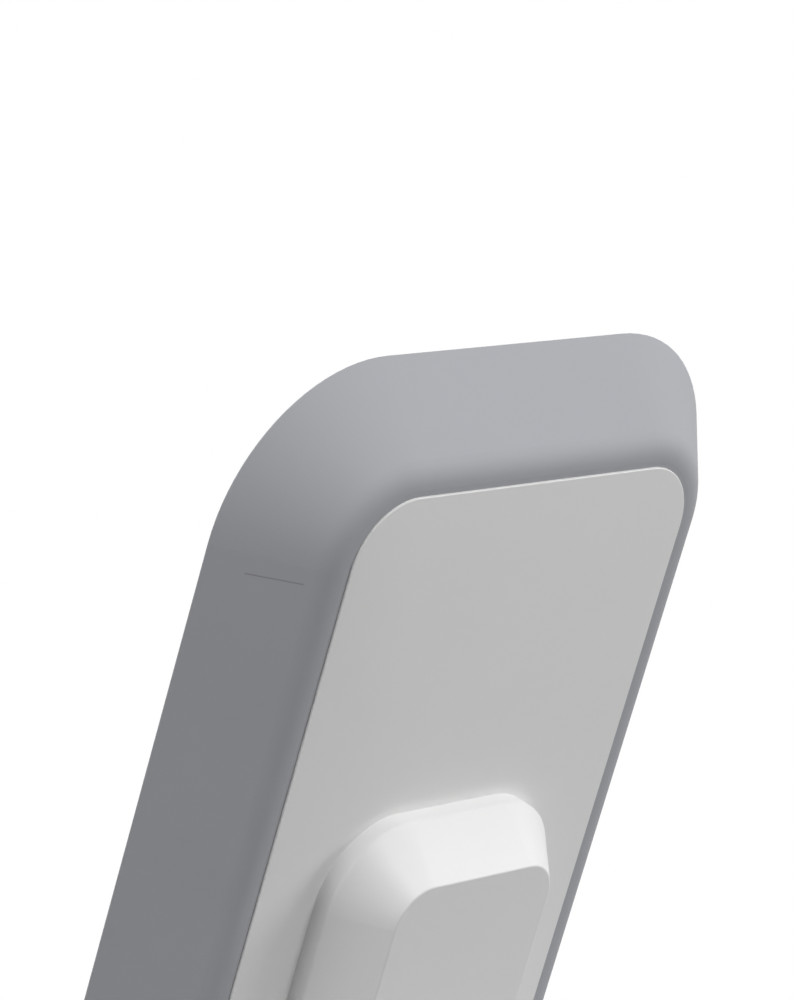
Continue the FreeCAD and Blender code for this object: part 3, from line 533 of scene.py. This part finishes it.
def only(*pieces):
    # these pieces selected and nothing else, the first one active
    bpy.ops.object.select_all(action="DESELECT")
    for piece in pieces:
        piece.select_set(True)
    bpy.context.view_layer.objects.active = pieces[0]


def placeInMesh():
    bpy.ops.object.transform_apply(location=True, rotation=True, scale=True)


def applyAll(piece):
    for modifier in list(piece.modifiers):
        bpy.ops.object.modifier_apply(modifier=modifier.name)
    placeInMesh()
    bpy.ops.object.shade_smooth_by_angle(angle=smoothAngle)


def dress(piece, name, slot):
    piece.name = name
    piece.data.name = name
    piece.data.materials.clear()
    piece.data.materials.append(finishes[slot])
    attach(piece, "root")


def inMetres(shape, *counts):
    # a piece's sizes without its counts
    return {name: size * millimetre for name, size in shape.items() if name not in counts}


def softBar(size, soft, steps):
    # a bar about the origin with its upper edges rounded
    bpy.ops.object.select_all(action="DESELECT")
    bpy.ops.mesh.primitive_cube_add(size=1)
    bar = bpy.context.object
    bar.scale = size
    placeInMesh()
    pick(bar, "edges", lambda point: point.z > 0)
    bpy.ops.mesh.bevel(offset=soft, segments=steps)
    bpy.ops.object.mode_set(mode="OBJECT")
    return bar


def rowFrom(piece, first, count, step):
    # the piece set at the first place, and copies of it at equal steps
    piece.location = first
    placeInMesh()
    row = piece.modifiers.new("row", "ARRAY")
    row.count = count
    row.use_relative_offset = False
    row.use_constant_offset = True
    row.constant_offset_displace = step


def setAtCorners(piece, places):
    # a copy of the piece at each place, all joined
    copies = []
    for place in places:
        only(piece)
        bpy.ops.object.duplicate(linked=False)
        copies.append(bpy.context.object)
        copies[-1].location = place
    bpy.data.objects.remove(piece)
    only(*copies)
    placeInMesh()
    bpy.ops.object.join()
    return bpy.context.object


# base screws: softened heads with a cross recess, one modelled and set in the four holes
screwShape = {
    "headWide": 3.6,
    "headHigh": 1.1,
    "shankWide": 2.0,
    "soft": 0.25,
    "softSteps": 4,
    "recessLong": 2.0,
    "recessWide": 0.52,
    "recessDeep": 0.55,
    "recessSoft": 0.52 / 3,
    "recessSteps": 3,
    "sides": 64,
}


def modelScrew(shape, length):
    sizes = inMetres(shape, "softSteps", "recessSteps", "sides")
    headHigh, headWide = sizes["headHigh"], sizes["headWide"]
    bpy.ops.object.select_all(action="DESELECT")
    bpy.ops.mesh.primitive_cylinder_add(vertices=shape["sides"], radius=headWide / 2, depth=headHigh)
    screw = bpy.context.object
    pick(screw, "faces", lambda face: face.normal.z > facing)
    bpy.ops.mesh.inset(thickness=(headWide - sizes["shankWide"]) / 2)
    bpy.ops.mesh.extrude_region_move(TRANSFORM_OT_translate={"value": (0, 0, length - headHigh)})
    ends = (length - headHigh / 2, -headHigh / 2)
    pick(screw, "edges", lambda point: min(abs(point.z - end) for end in ends) < near)
    bpy.ops.mesh.bevel(offset=sizes["soft"], segments=shape["softSteps"])
    bpy.ops.object.mode_set(mode="OBJECT")
    barSize = (sizes["recessLong"], sizes["recessWide"], 2 * sizes["recessDeep"])
    for turn in (0, 90):
        bar = softBar(barSize, sizes["recessSoft"], shape["recessSteps"])
        bar.location.z = -headHigh / 2
        bar.rotation_euler.z = math.radians(turn)
        placeInMesh()
        only(screw)
        cut = screw.modifiers.new("recess", "BOOLEAN")
        cut.object = bar
        cut.operation = "DIFFERENCE"
        cut.solver = "EXACT"
        bpy.ops.object.modifier_apply(modifier=cut.name)
        bpy.data.objects.remove(bar)
    bpy.ops.object.shade_smooth_by_angle(angle=smoothAngle)
    return screw


screwLow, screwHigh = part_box("base_screws")
headReach = screwShape["headWide"] / 2 * millimetre
screwPlaces = [
    (x, y, screwLow.z + screwShape["headHigh"] / 2 * millimetre)
    for x in (screwLow.x + headReach, screwHigh.x - headReach)
    for y in (screwLow.y + headReach, screwHigh.y - headReach)
]
baseScrews = setAtCorners(modelScrew(screwShape, screwHigh.z - screwLow.z), screwPlaces)
dress(baseScrews, "baseScrews", "screw_steel")
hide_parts("base_screws")
print("stage: base screws modelled")

# feet: turned pads with ring grooves in the sole, one modelled and set at the four corners
footNames = [f"foot_{end}_{side}" for end in ("front", "rear") for side in ("left", "right")]
footShape = {
    "rings": 3,
    "land": 1.0,
    "groove": 0.6,
    "deep": 0.4,
    "soft": 0.35,
    "softSteps": 5,
    "grooveSoft": 0.1,
    "grooveSteps": 3,
    "sides": 96,
}


def modelFoot(shape, wide, high):
    sizes = inMetres(shape, "rings", "softSteps", "grooveSteps", "sides")
    bpy.ops.object.select_all(action="DESELECT")
    bpy.ops.mesh.primitive_cylinder_add(vertices=shape["sides"], radius=wide / 2, depth=high)
    foot = bpy.context.object
    pick(foot, "faces", lambda face: face.normal.z < -facing)
    radius = wide / 2
    grooves = []
    for _ in range(shape["rings"]):
        bpy.ops.mesh.inset(thickness=sizes["land"])
        bpy.ops.mesh.inset(thickness=sizes["groove"])
        radius -= sizes["land"] + sizes["groove"]
        grooves.append((radius, radius + sizes["groove"]))

    def inGroove(face):
        away = math.hypot(face.center.x, face.center.y)
        return face.normal.z < -facing and any(inner < away < outer for inner, outer in grooves)

    def onRim(point):
        return point.z < near - high / 2 and math.hypot(point.x, point.y) > wide / 2 - near

    def onGroove(point):
        away = math.hypot(point.x, point.y)
        return point.z < near - high / 2 and any(abs(away - side) < near for ends in grooves for side in ends)

    pick(foot, "faces", inGroove)
    bpy.ops.mesh.extrude_region_move(TRANSFORM_OT_translate={"value": (0, 0, sizes["deep"])})
    pick(foot, "edges", onRim)
    bpy.ops.mesh.bevel(offset=sizes["soft"], segments=shape["softSteps"])
    pick(foot, "edges", onGroove)
    bpy.ops.mesh.bevel(offset=sizes["grooveSoft"], segments=shape["grooveSteps"])
    bpy.ops.object.mode_set(mode="OBJECT")
    bpy.ops.object.shade_smooth_by_angle(angle=smoothAngle)
    return foot


footBoxes = [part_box(name) for name in footNames]
footLow, footHigh = footBoxes[0]
foot = modelFoot(footShape, footHigh.x - footLow.x, footHigh.z - footLow.z)
feet = setAtCorners(foot, [(low + high) / 2 for low, high in footBoxes])
dress(feet, "feet", "foot_rubber")
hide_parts(*footNames)
print("stage: feet modelled")

# rear plate: the solid's mesh grown to a close fit in its recess, where the solid keeps a gap for assembly
plateFit = {"grow": 0.07 * millimetre, "merge": 0.001 * millimetre, "outerShare": 0.9}
plate = bpy.data.objects.new("rearPlate", nodes["rear_plate"].data.copy())
bpy.context.scene.collection.objects.link(plate)
only(plate)
bpy.ops.object.mode_set(mode="EDIT")
bpy.ops.mesh.select_all(action="SELECT")
bpy.ops.mesh.remove_doubles(threshold=plateFit["merge"])
bpy.ops.mesh.customdata_custom_splitnormals_clear()
bpy.ops.object.mode_set(mode="OBJECT")
plateHeights = [vertex.co.dot(padUp) for vertex in plate.data.vertices]
plateLevel = (min(plateHeights) + max(plateHeights)) / 2
halfHigh = (max(plateHeights) - min(plateHeights)) / 2
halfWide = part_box("rear_plate")[1].x


def onOuterWall(face):
    share = max(abs(face.center.x) / halfWide, abs(face.center.dot(padUp) - plateLevel) / halfHigh)
    return share > plateFit["outerShare"] and abs(face.normal.dot(padFront)) < 1 - facing


outward = {}
for face in filter(onOuterWall, plate.data.polygons):
    for corner in face.vertices:
        outward[corner] = outward.get(corner, Vector()) + face.normal
for corner, way in outward.items():
    plate.data.vertices[corner].co += way.normalized() * plateFit["grow"]
bpy.ops.object.shade_smooth_by_angle(angle=smoothAngle)
dress(plate, "rearPlate", "white_plastic")
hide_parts("rear_plate")
print("stage: rear plate fitted,", len(outward), "points moved")

# rounded ribs on the ledge's grip
ribShape = {
    "count": 5,
    "pitch": 1.5,
    "long": 27,
    "wide": 0.8,
    "high": 0.5,
    "sunk": 0.1,
    "soft": 0.3,
    "softSteps": 5,
}
rib = inMetres(ribShape, "count", "softSteps")
gripPoints = [vertex.co for vertex in nodes["ledge_grip"].data.vertices]
gripTop = max(point.dot(padUp) for point in gripPoints)
gripFronts = [point.dot(padFront) for point in gripPoints]
gripMiddle = (min(gripFronts) + max(gripFronts)) / 2
ribs = softBar((rib["long"], rib["wide"], rib["high"]), rib["soft"], ribShape["softSteps"])
firstRib = (0, -rib["pitch"] * (ribShape["count"] - 1) / 2, 0)
rowFrom(ribs, firstRib, ribShape["count"], (0, rib["pitch"], 0))
ledgeAxes = Matrix((padAcross, -padFront, padUp)).transposed().to_4x4()
ribPlace = padUp * (gripTop - rib["sunk"] + rib["high"] / 2) + padFront * gripMiddle
ribs.matrix_world = Matrix.Translation(ribPlace) @ ledgeAxes
applyAll(ribs)
dress(ribs, "ledgeRibs", "grip_rubber")
print("stage: ledge ribs modelled")

# contact strips on both faces of the inlet's tongue
stripShape = {
    "count": 6,
    "pitch": 0.95,
    "long": 3.4,
    "wide": 0.3,
    "high": 0.06,
    "back": 0.5,  # behind the tongue's end
    "soft": 0.02,
    "softSteps": 2,
}
strip = inMetres(stripShape, "count", "softSteps")
tongueLow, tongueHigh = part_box("inlet_tongue")
tongueMiddle = (tongueLow + tongueHigh) / 2
contacts = softBar((strip["wide"], strip["long"], strip["high"]), strip["soft"], stripShape["softSteps"])
firstStrip = (
    -strip["pitch"] * (stripShape["count"] - 1) / 2,
    tongueHigh.y - strip["back"] - strip["long"] / 2 - tongueMiddle.y,
    (tongueHigh.z - tongueLow.z) / 2 + strip["high"] / 2,
)
rowFrom(contacts, firstStrip, stripShape["count"], (strip["pitch"], 0, 0))
faces = contacts.modifiers.new("faces", "MIRROR")
faces.use_axis = (False, False, True)
faces.use_mirror_merge = False
contacts.location = tongueMiddle
applyAll(contacts)
dress(contacts, "inletContacts", "inlet_steel")
print("stage: inlet contacts modelled")

# floor and world: pale for the camera, dim for the light that comes back from them
floorLook = {
    "size": 8.0,
    "tone": 0.92,
    "bounce": 0.16,
    "lift": 0.3,  # share of plain white under the object, all white from far on
    "near": 0.08,
    "far": 0.25,
}
worldLook = {"tone": (1.0, 1.0, 1.0), "strength": 0.02}
bpy.ops.object.select_all(action="DESELECT")
bpy.ops.mesh.primitive_plane_add(size=floorLook["size"], location=(0, 0, 0))
floor = bpy.context.object
floor.name = "floor"


def shownDirectly(shade):
    # camera, mirror and clear-through rays
    rays = ("Is Camera Ray", "Is Glossy Ray", "Is Transmission Ray")
    camera, mirror, clear = [shade.node("ShaderNodeLightPath", None, None, ray) for ray in rays]
    return shade.node("ShaderNodeClamp", None, {"Value": camera + mirror + clear})


floorSurface, shade = newSurface("floorPaper")
shown = shownDirectly(shade)
reach = shade.vector("LENGTH", spotOn(shade), None, "Value")
lift = reach.smooth(floorLook["near"], floorLook["far"]) * (1 - floorLook["lift"]) + floorLook["lift"]
paperTone = shown.mix(colour([floorLook["bounce"]] * 3), colour([floorLook["tone"]] * 3))
paper = shade.node("ShaderNodeBsdfDiffuse", None, {"Color": paperTone})
white = shade.node("ShaderNodeEmission", None, {"Color": colour((1, 1, 1)), "Strength": 1.0})
both = shade.node("ShaderNodeMixShader", None, {0: lift * shown, 1: paper, 2: white})
output = shade.tree.nodes.new("ShaderNodeOutputMaterial")
shade.tree.links.new(both.socket, output.inputs["Surface"])
floor.data.materials.append(floorSurface)

world = bpy.data.worlds.new("studio")
bpy.context.scene.world = world
world.use_nodes = True
world.node_tree.nodes.clear()
shade = Shade(world.node_tree)
strength = shownDirectly(shade) * (1 - worldLook["strength"]) + worldLook["strength"]
sky = shade.node("ShaderNodeBackground", None, {"Color": colour(worldLook["tone"]), "Strength": strength})
output = shade.tree.nodes.new("ShaderNodeOutputWorld")
shade.tree.links.new(sky.socket, output.inputs["Surface"])

# soft panels turned to the pad: one behind it, one at each side, one above and one in front
lampAim = Vector((0, 0.01, 0.09))
lampReach = 1.2
glareFree = ("side", "front")  # low lamps that would glare on the base's top
lamps = {
    "rear": {"turn": 90, "rise": 35, "size": (0.5, 0.5), "power": 7.0},
    "above": {"turn": 90, "rise": 70, "size": (0.5, 0.5), "power": 5.7},
    "side": {"turn": 350, "rise": 11, "size": (0.5, 0.5), "power": 6.0},
    "right": {"turn": 145, "rise": 12, "size": (0.4, 0.4), "power": 4.9},
    "front": {"turn": 270, "rise": 14, "size": (1.0, 0.6), "power": 9.5},
}
for name, lamp in lamps.items():
    turn, rise = math.radians(lamp["turn"]), math.radians(lamp["rise"])
    towards = Vector((math.cos(turn) * math.cos(rise), math.sin(turn) * math.cos(rise), math.sin(rise)))
    bpy.ops.object.light_add(type="AREA", location=lampAim + towards * lampReach)
    panel = bpy.context.object
    panel.name = name
    panel.data.shape = "RECTANGLE"
    panel.data.size, panel.data.size_y = lamp["size"]
    panel.data.energy = lamp["power"]
    panel.visible_glossy = name not in glareFree
    panel.rotation_mode = "QUATERNION"
    panel.rotation_quaternion = (-towards).to_track_quat("-Z", "Y")

# camera behind the stand, off to one side and a little above
cameraView = {
    "place": (0.391268, 0.364325, 0.179743),
    "ahead": (-0.732104, -0.672077, -0.111064),
    "roll": -0.4055,
    "sensor": 36,
    "lens": 167.007,
}
bpy.ops.object.camera_add(location=cameraView["place"])
camera = bpy.context.object
camera.rotation_mode = "QUATERNION"
level = Vector(cameraView["ahead"]).to_track_quat("-Z", "Y")
camera.rotation_quaternion = level @ Quaternion((0, 0, 1), math.radians(cameraView["roll"]))
camera.data.sensor_width = cameraView["sensor"]
camera.data.lens = cameraView["lens"]
camera.data.dof.use_dof = False
bpy.context.scene.camera = camera
bpy.context.scene.view_settings.view_transform = "Standard"
print("stage: floor, lamps and camera set")
